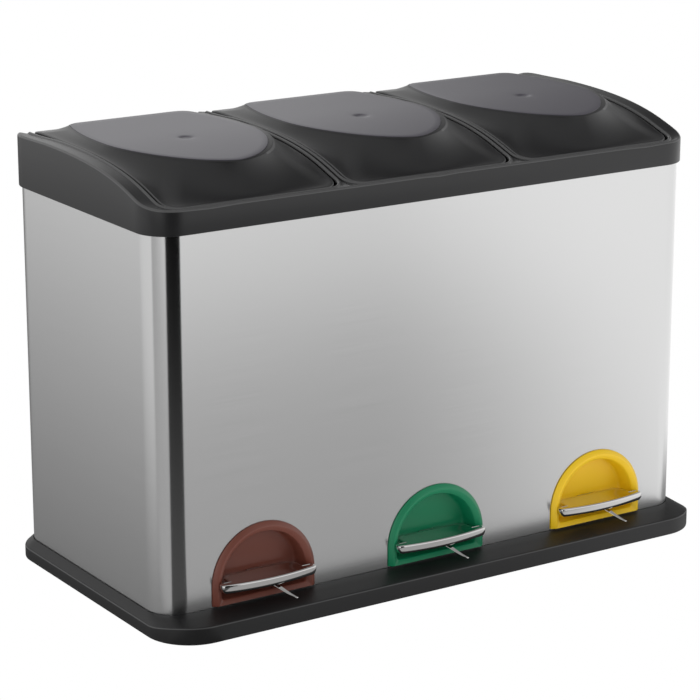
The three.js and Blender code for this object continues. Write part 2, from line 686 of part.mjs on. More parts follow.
// Bail handle, folded forward on the bucket's rim.
function bucketHandle(x) {
  const out = BUCKET_HALF - 0.5;
  const bar = 4;
  const front = BUCKET_FRONT + 14;
  const arms = [
    V2(-out, BAIL_Y + 3),
    ...arc(-out + 20, front + 20, 20, 20, Math.PI, 1.5 * Math.PI, 5),
    ...arc(out - 20, front + 20, 20, 20, 1.5 * Math.PI, 2 * Math.PI, 5),
    V2(out, BAIL_Y + 3),
    V2(out - bar, BAIL_Y + 3),
    ...arc(out - 20, front + 20, 20 - bar, 20 - bar, 2 * Math.PI, 1.5 * Math.PI, 5),
    ...arc(-out + 20, front + 20, 20 - bar, 20 - bar, 1.5 * Math.PI, Math.PI, 5),
    V2(-out + bar, BAIL_Y + 3),
  ];
  const bail = prism(arms, BAIL_Z - 2.5, BAIL_Z + 2);
  const grip = box(-35, 35, front - 1.5, front + bar + 1.5, BAIL_Z - 3.2, BAIL_Z + 2.7);
  const pin = (side) => cylinder(1.6, 9, "x", side * (out - bar - 3.5), BAIL_Y, BAIL_Z, 10);
  return join(bail, grip, pin(-1), pin(1)).translate([x, 0, 0]);
}

// ---------------------------------------------------------------- the object
const finish = (color, roughness, metalness) => new THREE.MeshStandardMaterial({ color, roughness, metalness });
const MATERIALS = {
  frame: finish(0x3c3c3e, 0.45, 0),
  plinth: finish(0x2a2a2b, 0.5, 0),
  steel: finish(0xb9bbbc, 0.32, 1),
  polished: finish(0xd0d1d2, 0.12, 1),
  zinc: finish(0x9a9c9e, 0.4, 1),
  panel: finish(0x6a6870, 0.35, 0),
  bucket: finish(0x37393b, 0.55, 0),
  rubber: finish(0x1b1b1b, 0.9, 0),
};

const bin = new THREE.Group();

function place(name, body, material) {
  const mesh = new THREE.Mesh(geometryOf(body), material);
  mesh.name = name;
  bin.add(mesh);
}

place("base_plinth", basePlinth(), MATERIALS.plinth);
place("steel_body", steelBody(), MATERIALS.steel);
place("top_frame", topFrame(), MATERIALS.frame);
FEET.forEach((spot, i) => place(`rubber_foot_${i + 1}`, rubberFoot(spot), MATERIALS.rubber));

for (const { side, x, colour } of COMPARTMENTS) {
  place(`pedal_surround_${side}`, surround(x), finish(colour, 0.4, 0));
  place(`pedal_${side}`, pedal(x), MATERIALS.polished);
  place(`pedal_lever_${side}`, lever(x), MATERIALS.zinc);
  place(`pedal_spring_${side}`, leafSpring(x), MATERIALS.polished);
  place(`lever_pin_${side}`, pivotPin(x), MATERIALS.zinc);
  place(`push_rod_${side}`, pushRod(x), MATERIALS.zinc);
  place(`rod_guide_${side}`, rodGuide(x), MATERIALS.plinth);
  place(`lid_${side}`, lid(x), MATERIALS.frame);
  place(`lid_panel_${side}`, lidPanel(x), MATERIALS.panel);
  place(`hinge_rod_${side}`, hingeRod(x), MATERIALS.zinc);
  place(`inner_bucket_${side}`, bucket(x), MATERIALS.bucket);
  place(`bucket_handle_${side}`, bucketHandle(x), MATERIALS.bucket);
}

export default bin;
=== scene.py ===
"""Three-compartment recycling pedal bin: brushed steel body, moulded plinth and frame, three hinged lids."""

import math

import bmesh
import bpy
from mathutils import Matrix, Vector


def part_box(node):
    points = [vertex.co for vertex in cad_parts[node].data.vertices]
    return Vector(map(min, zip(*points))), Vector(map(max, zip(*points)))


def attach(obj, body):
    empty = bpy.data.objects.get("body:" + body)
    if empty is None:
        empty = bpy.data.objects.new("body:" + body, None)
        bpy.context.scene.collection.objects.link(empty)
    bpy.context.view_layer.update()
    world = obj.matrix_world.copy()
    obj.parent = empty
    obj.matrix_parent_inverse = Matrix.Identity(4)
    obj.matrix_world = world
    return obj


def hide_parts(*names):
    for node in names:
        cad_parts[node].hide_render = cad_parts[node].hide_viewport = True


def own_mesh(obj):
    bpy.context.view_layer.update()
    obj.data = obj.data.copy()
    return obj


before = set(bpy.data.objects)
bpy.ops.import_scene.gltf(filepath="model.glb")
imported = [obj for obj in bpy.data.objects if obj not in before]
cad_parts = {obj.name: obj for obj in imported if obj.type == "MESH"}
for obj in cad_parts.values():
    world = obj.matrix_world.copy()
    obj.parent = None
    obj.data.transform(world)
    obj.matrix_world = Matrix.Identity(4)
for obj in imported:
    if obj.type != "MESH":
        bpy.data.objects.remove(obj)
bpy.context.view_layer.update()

# ------------------------------------------------------------------ places read from the frame, in millimetres
MM = 1000.0
SIDES = ("left", "centre", "right")


def box_mm(node):
    low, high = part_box(node)
    return [v * MM for v in low], [v * MM for v in high]


STEEL_LOW, STEEL_HIGH = box_mm("steel_body")
PLINTH_LOW, PLINTH_HIGH = box_mm("base_plinth")
FRAME_LOW, FRAME_HIGH = box_mm("top_frame")
CENTRES = {s: (box_mm(f"lid_{s}")[0][0] + box_mm(f"lid_{s}")[1][0]) / 2 for s in SIDES}
HALF_W = STEEL_HIGH[0]
FRONT = STEEL_LOW[1]
BACK = STEEL_HIGH[1]
BODY_R = 28.0
PROUD = 3.0  # frame's skirt beyond the steel
SKIRT_Z = FRAME_LOW[2]
TOP_Z = box_mm("lid_panel_centre")[1][2] - 0.3
LEDGE_Z = 20.0
HINGE_LOW, HINGE_HIGH = box_mm("hinge_rod_centre")
HINGE_Y = (HINGE_LOW[1] + HINGE_HIGH[1]) / 2
HINGE_Z = (HINGE_LOW[2] + HINGE_HIGH[2]) / 2


# ------------------------------------------------------------------ mesh helpers
def make(name, verts, faces, material, body, smooth=35.0, merge=0.0, second=None, painted_highlight_faces=()):
    """A mesh in row millimetres becomes an object in the row frame, shaded smooth up to an angle.
    The faces in the last argument take the second material, a lighter copy that paints highlights."""
    mesh = bpy.data.meshes.new(name)
    mesh.from_pydata([(x / MM, y / MM, z / MM) for x, y, z in verts], [], faces)
    obj = bpy.data.objects.new(name, mesh)
    bpy.context.collection.objects.link(obj)
    mesh.materials.append(material)
    if second:
        mesh.materials.append(second)
        for i in painted_highlight_faces:
            mesh.polygons[i].material_index = 1
    if merge:
        bm = bmesh.new()
        bm.from_mesh(mesh)
        bmesh.ops.remove_doubles(bm, verts=bm.verts, dist=merge / MM)
        bmesh.ops.dissolve_degenerate(bm, edges=bm.edges, dist=1e-7)
        bm.to_mesh(mesh)
        bm.free()
    if smooth:
        mesh.shade_smooth()
        mesh.set_sharp_from_angle(angle=math.radians(smooth))
    mesh.update()
    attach(obj, body)
    return obj


def arc(cx, cy, rx, ry, start, end, steps):
    out = []
    for i in range(steps + 1):
        a = math.radians(start + (end - start) * i / steps)
        out.append((cx + rx * math.cos(a), cy + ry * math.sin(a)))
    return out


def rounded(x0, x1, y0, y1, radii, steps=12, sides=(1, 1)):
    """Rounded rectangle, anticlockwise from the front-left, with its corners' radii in that order.
    sides holds how many steps divide the straight runs, front and back, then left and right."""
    fl, fr, br, bl = (max(r, 0.001) for r in radii)
    corners = [
        arc(x0 + fl, y0 + fl, fl, fl, 180, 270, steps),
        arc(x1 - fr, y0 + fr, fr, fr, 270, 360, steps),
        arc(x1 - br, y1 - br, br, br, 0, 90, steps),
        arc(x0 + bl, y1 - bl, bl, bl, 90, 180, steps),
    ]
    out = []
    for i, corner in enumerate(corners):
        out += corner
        a, b = corner[-1], corners[(i + 1) % 4][0]
        count = sides[i % 2]
        out += [(a[0] + (b[0] - a[0]) * k / count, a[1] + (b[1] - a[1]) * k / count) for k in range(1, count)]
    return out


def lifted(points, z):
    return [(x, y, z) for x, y in points]


def skin(rings, caps=(False, False)):
    """Quads between closed rings of equal length, with a cap on the first and on the last if asked for."""
    verts = [p for r in rings for p in r]
    n = len(rings[0])
    faces = []
    for r in range(len(rings) - 1):
        for i in range(n):
            a = r * n + i
            b = r * n + (i + 1) % n
            faces.append((a, b, b + n, a + n))
    if caps[0]:
        faces.append(tuple(reversed(range(n))))
    if caps[1]:
        faces.append(tuple((len(rings) - 1) * n + i for i in range(n)))
    return verts, faces


def turned(faces):
    return [tuple(reversed(face)) for face in faces]


def plate(outline, x0, width):
    """A flat plate across x, from its outline in the side view."""
    return skin([[(x, y, z) for y, z in outline] for x in (x0, x0 + width)], caps=(True, True))


def joined(parts):
    verts, faces = [], []
    for v, f in parts:
        base = len(verts)
        verts += v
        faces += [tuple(i + base for i in face) for face in f]
    return verts, faces


def block(x0, x1, y0, y1, z0, z1):
    verts = [(x, y, z) for z in (z0, z1) for x, y in ((x0, y0), (x1, y0), (x1, y1), (x0, y1))]
    faces = [(0, 3, 2, 1), (4, 5, 6, 7), (0, 1, 5, 4), (1, 2, 6, 5), (2, 3, 7, 6), (3, 0, 4, 7)]
    return verts, faces


def smoothstep(a, b, v):
    t = min(1.0, max(0.0, (v - a) / (b - a)))
    return t * t * (3 - 2 * t)


# ------------------------------------------------------------------ shared curves
def bezier(points, t):
    (ax, ay), (bx, by), (cx, cy), (dx, dy) = points
    u = 1 - t
    return (
        u**3 * ax + 3 * u * u * t * bx + 3 * u * t * t * cx + t**3 * dx,
        u**3 * ay + 3 * u * u * t * by + 3 * u * t * t * cy + t**3 * dy,
    )


FRAME_TOP_Z = 412.0
RISE = ((FRONT - PROUD, 385.0), (FRONT + 35, 386.0), (FRONT + 43, 410.5), (FRONT + 175, FRAME_TOP_Z))
RISE_POINTS = [bezier(RISE, i / 200) for i in range(201)]


def profile(y):
    """Height of the frame's top edge, seen from the side."""
    if y <= RISE[0][0]:
        return RISE[0][1]
    if y < RISE[3][0]:
        for (y0, z0), (y1, z1) in zip(RISE_POINTS, RISE_POINTS[1:]):
            if y <= y1:
                return z0 + (z1 - z0) * (y - y0) / (y1 - y0)
    top = FRAME_TOP_Z + min(1.0, (y - RISE[3][0]) / 78.0)
    fall = max(0.0, y - (BACK - 17)) / 20.0
    return top - 9.0 * fall**2.4


def droop(y):
    """Height of the lids' flat top, which falls away towards the front."""
    return TOP_Z - 0.00029 * max(0.0, 32.0 - y) ** 2


# ------------------------------------------------------------------ materials
def shader(name, color, roughness, metallic=0.0):
    mat = bpy.data.materials.new(name)
    mat.use_nodes = True
    bsdf = mat.node_tree.nodes["Principled BSDF"]
    bsdf.inputs["Base Color"].default_value = (*color, 1.0)
    bsdf.inputs["Roughness"].default_value = roughness
    bsdf.inputs["Metallic"].default_value = metallic
    return mat, bsdf


def grained(name, color, roughness, scale, strength, distance):
    """A moulded plastic with its fine grain as a bump."""
    mat, bsdf = shader(name, color, roughness)
    nodes, links = mat.node_tree.nodes, mat.node_tree.links
    coords = nodes.new("ShaderNodeTexCoord")
    noise = nodes.new("ShaderNodeTexNoise")
    noise.inputs["Scale"].default_value = scale
    noise.inputs["Detail"].default_value = 3.0
    bump = nodes.new("ShaderNodeBump")
    bump.inputs["Strength"].default_value = strength
    bump.inputs["Distance"].default_value = distance
    links.new(coords.outputs["Object"], noise.inputs["Vector"])
    links.new(noise.outputs["Fac"], bump.inputs["Height"])
    links.new(bump.outputs["Normal"], bsdf.inputs["Normal"])
    return mat


BLACK = grained("black_moulding", (0.013, 0.013, 0.014), 0.34, 1400.0, 0.25, 0.0002)
# a lighter copy of the black moulding, laid on edges of the frame and lids: painted highlights
HIGHLIGHT_PAINT, _ = shader("black_moulding_painted_highlight", (0.085, 0.085, 0.086), 0.34)
PLINTH = grained("plinth_moulding", (0.009, 0.009, 0.0095), 0.5, 1200.0, 0.3, 0.0002)
# a lighter copy of the plinth moulding, laid along the top of its upright wall: a painted highlight
PLINTH_HIGHLIGHT_PAINT, _ = shader("plinth_moulding_painted_highlight", (0.055, 0.055, 0.056), 0.4)
PANEL = grained("smoky_insert", (0.068, 0.062, 0.083), 0.34, 1600.0, 0.12, 0.0001)
BUCKET = grained("bucket_plastic", (0.035, 0.037, 0.04), 0.5, 900.0, 0.3, 0.0002)
RUBBER, _ = shader("foot_rubber", (0.012, 0.012, 0.012), 0.85)
ZINC, _ = shader("zinc_plate", (0.5, 0.51, 0.52), 0.32, 1.0)
POLISHED, _ = shader("polished_steel", (0.68, 0.67, 0.66), 0.1, 1.0)
SURROUND_COLORS = {"left": (0.175, 0.05, 0.032), "centre": (0.003, 0.22, 0.095), "right": (0.97, 0.62, 0.008)}
SURROUND = {
    side: grained(f"surround_{side}", color, 0.38, 1500.0, 0.15, 0.0001)
    for side, color in SURROUND_COLORS.items()
}


def brushed(name):
    """Stainless sheet brushed along its length: streaks along the wrap, stretched reflections across it."""
    mat, bsdf = shader(name, (0.68, 0.68, 0.678), 0.3, 1.0)
    bsdf.inputs["Anisotropic"].default_value = 0.9
    bsdf.inputs["Anisotropic Rotation"].default_value = 0.25
    nodes, links = mat.node_tree.nodes, mat.node_tree.links
    uv = nodes.new("ShaderNodeUVMap")
    uv.uv_map = "wrap"
    mapping = nodes.new("ShaderNodeMapping")
    mapping.inputs["Scale"].default_value = (8.0, 2200.0, 1.0)
    noise = nodes.new("ShaderNodeTexNoise")
    noise.inputs["Scale"].default_value = 1.0
    noise.inputs["Detail"].default_value = 4.0
    gloss = nodes.new("ShaderNodeMapRange")
    gloss.inputs["To Min"].default_value = 0.14
    gloss.inputs["To Max"].default_value = 0.25
    tint = nodes.new("ShaderNodeMapRange")
    tint.inputs["To Min"].default_value = 0.66
    tint.inputs["To Max"].default_value = 0.695
    links.new(noise.outputs["Fac"], tint.inputs["Value"])
    links.new(tint.outputs["Result"], bsdf.inputs["Base Color"])
    bump = nodes.new("ShaderNodeBump")
    bump.inputs["Strength"].default_value = 0.1
    bump.inputs["Distance"].default_value = 0.0001
    tangent = nodes.new("ShaderNodeTangent")
    tangent.direction_type = "UV_MAP"
    tangent.uv_map = "wrap"
    links.new(uv.outputs["UV"], mapping.inputs["Vector"])
    links.new(mapping.outputs["Vector"], noise.inputs["Vector"])
    links.new(noise.outputs["Fac"], gloss.inputs["Value"])
    links.new(gloss.outputs["Result"], bsdf.inputs["Roughness"])
    links.new(noise.outputs["Fac"], bump.inputs["Height"])
    links.new(bump.outputs["Normal"], bsdf.inputs["Normal"])
    links.new(tangent.outputs["Tangent"], bsdf.inputs["Tangent"])
    return mat


STEEL = brushed("brushed_steel")


# ------------------------------------------------------------------ steel body
CURVE_STEPS = 24  # steps in a corner of the body or of the plinth, and in half an arch
WINDOW_HALF, WINDOW_FOOT = 49.0, 23.0
ARCH_Z = 37.5  # centre of the arches' round


def body_outline(grow):
    r = BODY_R + grow
    return rounded(-HALF_W - grow, HALF_W + grow, FRONT - grow, BACK + grow, (r, r, r, r), CURVE_STEPS)


def arch(half, foot, corner):
    """Arch in the front view, anticlockwise seen from the front: foot corners, then the round."""
    out = arc(-half + corner, foot + corner, corner, corner, 180, 270, 6)
    out += arc(half - corner, foot + corner, corner, corner, 270, 360, 6)
    return out + arc(0, ARCH_Z, half, half, 0, 180, 2 * CURVE_STEPS)


def steel_body():
    low, high = STEEL_LOW[2], STEEL_HIGH[2]
    outer = body_outline(0)
    inner = body_outline(-1.0)
    verts, faces = skin([lifted(inner, low), lifted(outer, low), lifted(outer, high), lifted(inner, high)])
    n = len(outer)
    faces += [(3 * n + i, 3 * n + (i + 1) % n, (i + 1) % n, i) for i in range(n)]
    obj = make("steel_wrap", verts, faces, STEEL, "body", smooth=0, merge=0.001)
    cutters = []
    for x in CENTRES.values():
        outline = arch(WINDOW_HALF, WINDOW_FOOT, 0.001)
        front = [(x + px, FRONT - 8, pz) for px, pz in outline]
        rear = [(x + px, FRONT + 8, pz) for px, pz in outline]
        v, f = skin([rear, front], caps=(True, True))
        mesh = bpy.data.meshes.new("cutter")
        mesh.from_pydata([(a / MM, b / MM, c / MM) for a, b, c in v], [], f)
        cutter = bpy.data.objects.new("cutter", mesh)
        bpy.context.collection.objects.link(cutter)
        cutters.append(cutter)
        modifier = obj.modifiers.new("window", "BOOLEAN")
        modifier.object = cutter
        modifier.operation = "DIFFERENCE"
        modifier.solver = "EXACT"
    depsgraph = bpy.context.evaluated_depsgraph_get()
    cut = bpy.data.meshes.new_from_object(obj.evaluated_get(depsgraph))
    obj.modifiers.clear()
    obj.data = cut
    for cutter in cutters:
        bpy.data.objects.remove(cutter)
    cut.shade_smooth()
    cut.set_sharp_from_angle(angle=math.radians(30))
    layer = cut.uv_layers.new(name="wrap")
    for polygon in cut.polygons:
        for loop in polygon.loop_indices:
            p = cut.vertices[cut.loops[loop].vertex_index].co
            layer.data[loop].uv = (wrap_length(p.x, p.y, polygon.normal), p.z)
    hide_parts("steel_body")


def wrap_length(x, y, n):
    """Distance round the wrap from the left side, in metres: enough for streaks that follow the sheet."""
    hw, f, bk, r = HALF_W / MM, FRONT / MM, BACK / MM, BODY_R / MM
    quarter = math.pi * r / 2
    depth = bk - f - 2 * r
    width = 2 * hw - 2 * r
    if x < -hw + r and y < f + r:
        a = math.atan2(-(y - f - r), -(x + hw - r))
        return depth + a * r
    if x > hw - r and y < f + r:
        a = math.atan2(x - hw + r, -(y - f - r))
        return depth + quarter + width + a * r
    if x > hw - r and y > bk - r:
        a = math.atan2(y - bk + r, x - hw + r)
        return 2 * depth + 2 * quarter + width + a * r
    if x < -hw + r and y > bk - r:
        a = math.atan2(y - bk + r, -(x + hw - r))
        return -a * r
    if abs(n.x) > abs(n.y):
        return (bk - r - y) if x < 0 else depth + 2 * quarter + width + (y - f - r)
    return depth + quarter + (x + hw - r) if y < 0 else -quarter - (x + hw - r)


# ------------------------------------------------------------------ top frame
OPEN_HALF = 89.0
OPEN_FRONT = FRONT + 4
OPEN_BACK = 136.0
REAR_CUT = 399.5
LUG_X, LUG_R, LUG_W = 76.0, 4.4, 4.8
SHELF_LOW, SHELF_HIGH = 384.0, 388.0
SKIRT_OUT = 2.2  # from the top's edge to the skirt's face
LIP = 1.2  # how far the deck lies below the side view's profile
# beads round the openings: distance from the opening and height
BEAD = (
    (0.0, -0.9), (0.2, -0.1), (0.6, 0.5), (1.2, 0.9), (1.9, 1.05), (2.6, 0.9), (3.2, 0.4), (3.6, -0.1),
)


def deck(x, y):
    """Top surface of the frame, cut down behind the lids for the hinges."""
    z = profile(y)
    beside = min(abs(x - c) for c in CENTRES.values())
    cut_in = smoothstep(OPEN_HALF + 0.2, OPEN_HALF - 1.2, beside) * smoothstep(OPEN_BACK - 6, OPEN_BACK - 2, y)
    inboard = smoothstep(HALF_W - 6, HALF_W - 12, abs(x))
    z -= (2.0 + 0.8 * inboard) * smoothstep(60.0, 130.0, y)
    return z + (min(z, REAR_CUT) - z) * cut_in


def frame_piece():
    parts, painted_highlight_faces = [], []
    steps, counts = 10, (30, 70)
    hw, f, bk = HALF_W + PROUD - SKIRT_OUT, FRONT - PROUD + SKIRT_OUT, BACK + PROUD - SKIRT_OUT
    r = BODY_R + PROUD - SKIRT_OUT
    xs = sorted(CENTRES.values())
    seams = [-hw, (xs[0] + xs[1]) / 2, (xs[1] + xs[2]) / 2, hw]
    outlines = []
    for i, xc in enumerate(xs):
        def opening(grow, xc=xc):
            return rounded(
                xc - OPEN_HALF - grow, xc + OPEN_HALF + grow, OPEN_FRONT - grow, OPEN_BACK + grow,
                (17 + grow, 17 + grow, 4 + grow, 4 + grow), steps, counts,
            )

        outer_r = (r if i == 0 else 0, r if i == 2 else 0, r if i == 2 else 0, r if i == 0 else 0)
        outer = rounded(seams[i], seams[i + 1], f, bk, outer_r, steps, counts)
        divider = (seams[2] - xs[1]) - OPEN_HALF
        rings = [[(x, y, SKIRT_Z + 9) for x, y in opening(1.6)]]
        rings.append([(x, y, SKIRT_Z + 9) for x, y in opening(0)])
        rings.append([(x, y, deck(x, y) - 4) for x, y in opening(0)])
        for grow, rise in (*BEAD, (divider, -0.15)):
            rings.append([(x, y, deck(x, y) - LIP + rise) for x, y in opening(grow)])
        inner = opening(divider)
        for t in (0.12, 0.3, 0.55, 0.8, 1.0):
            ring = []
            for (ax, ay), (ox, oy) in zip(inner, outer):
                x, y = ax + (ox - ax) * t, ay + (oy - ay) * t
                gap = math.hypot(ox - ax, oy - ay)
                rise = min(1.0, gap / 4.0) * (0.0 if t < 0.2 else (t - 0.2) / 0.8 * LIP * 0.7)
                ring.append((x, y, deck(x, y) - LIP - 0.15 + rise))
            rings.append(ring)
        verts, faces = skin(rings)
        count = len(rings[0])
        # the bead and the strip along the front take the lighter copy of the black: painted highlights
        base_face = sum(len(some) for _, some in parts)
        painted_highlight_faces += range(base_face + 3 * count, base_face + 10 * count)
        for k, face in enumerate(faces[10 * count:]):
            if verts[face[0]][1] < OPEN_FRONT + 1:
                painted_highlight_faces.append(base_face + 10 * count + k)
        parts.append((verts, turned(faces)))
        outlines.append(rings[-1])
    # outer edge, from the cells: front and back of each, left end of the first, right end of the last
    left, mid, right = outlines
    f0 = steps
    f1 = f0 + counts[0]
    b0 = f1 + steps + counts[1] + steps
    b1 = b0 + counts[0]
    edge = left[:f1 + 1] + mid[f0:f1 + 1] + right[f0:b1 + 1] + mid[b0:b1 + 1] + left[b0:]
    clean = []
    for p in edge:
        if not clean or math.dist(p, clean[-1]) > 0.05:
            clean.append(p)
    if math.dist(clean[0], clean[-1]) < 0.05:
        clean.pop()
    cx0, cx1, cy0, cy1 = -hw + r, hw - r, f + r, bk - r

    def pushed(p, out, z):
        x, y, _ = p
        nx = min(0.0, x - cx0) + max(0.0, x - cx1)
        ny = min(0.0, y - cy0) + max(0.0, y - cy1)
        length = math.hypot(nx, ny) or 1.0
        return (x + out * nx / length, y + out * ny / length, z)

    skirt = [
        [pushed(p, out, p[2] - drop) for p in clean]
        for out, drop in ((0.0, 0.0), (0.9, 0.12), (1.7, 0.75), (2.1, 1.6), (SKIRT_OUT, 2.6))
    ]
    skirt += [
        [pushed(p, out, SKIRT_Z + rise) for p in clean]
        for out, rise in ((SKIRT_OUT, 1.0), (1.9, 0.3), (1.3, 0.0), (-0.4, 0.0), (-0.4, 12.0))
    ]
    verts, faces = skin(skirt)
    base_face = sum(len(some) for _, some in parts)
    # the skirt's rounded top edge takes the lighter copy too: a painted highlight line
    painted_highlight_faces += range(base_face, base_face + 3 * len(clean))
    parts.append((verts, turned(faces)))
    # rear shelf and hinge lugs
    parts.append(block(-HALF_W + 18, HALF_W - 18, OPEN_BACK + 0.2, BACK - 1.6, SHELF_LOW, SHELF_HIGH))
    outline = [(OPEN_BACK + 0.3, SHELF_HIGH - 1), (HINGE_Y + LUG_R, SHELF_HIGH - 1)]
    outline += arc(HINGE_Y, HINGE_Z, LUG_R, LUG_R, 0, 180, 12)
    for xc in xs:
        for s in (-1, 1):
            parts.append(plate(outline, xc + s * LUG_X - LUG_W / 2, LUG_W))
    verts, faces = joined(parts)
    obj = make("frame_moulding", verts, faces, BLACK, "body", smooth=38, merge=0.004, second=HIGHLIGHT_PAINT, painted_highlight_faces=painted_highlight_faces)
    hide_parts("top_frame")


# ------------------------------------------------------------------ lids
LID_HALF = 87.0
LID_FRONT = OPEN_FRONT + 2
LID_BACK = 134.0
MID_Y = 17.0  # where the flat top is widest
FLAT_HALF, FLAT_TIP, FLAT_REAR = 76.0, FRONT + 33.5, 117.0
FLAT_CORNER = 9.0
KNUCKLE_X, KNUCKLE_R, KNUCKLE_W = 68.0, 4.8, 5.6
CRANK_R = 3.0
DIMPLE_Y = 4.0
DIMPLE = ((11, 0.02), (8, 0.12), (6.5, 0.35), (5.2, 0.75), (4.0, 1.0), (2.4, 1.12), (0.6, 1.15))  # radius, depth


def flat_reach(angle, inset):
    """Distance from (0, MID_Y) to the edge of the lid's flat top in some direction."""
    c, s = math.cos(angle), math.sin(angle)
    low, high = 0.0, 200.0
    for _ in range(40):
        mid = (low + high) / 2
        x, y = abs(mid * c), MID_Y + mid * s
        if inside_flat(x, y, inset):
            low = mid
        else:
            high = mid
    return low


def inside_flat(x, y, inset):
    half = FLAT_HALF - inset
    tip = FLAT_TIP + inset
    rear = FLAT_REAR - inset
    if y < tip or y > rear:
        return False
    if y < MID_Y:
        s = (MID_Y - y) / (MID_Y - tip)
        return x <= half * (1 - s**1.8) ** 0.62
    u = (y - MID_Y) / (rear - MID_Y)
    edge = half - 16.0 * u**2.2
    corner = max(0.0, y - (rear - FLAT_CORNER)) / FLAT_CORNER
    return x <= edge - FLAT_CORNER * (1 - math.sqrt(max(0.0, 1 - corner * corner)))


def lid_edge(inset):
    rf, rb = 16 - inset, 4 - min(inset, 3)
    x, y0, y1 = LID_HALF - inset, LID_FRONT + inset, LID_BACK - inset
    return rounded(-x, x, y0, y1, (rf, rf, rb, rb), 12, (44, 64))


def edge_z(y):
    """Height of the lid's edge, a little below the frame's and dipping at the hinge."""
    return min(profile(min(y, 128.0)), 413.0) - 1.3 - 2.2 * max(0.0, (y - 118.0) / 16.0) ** 1.5


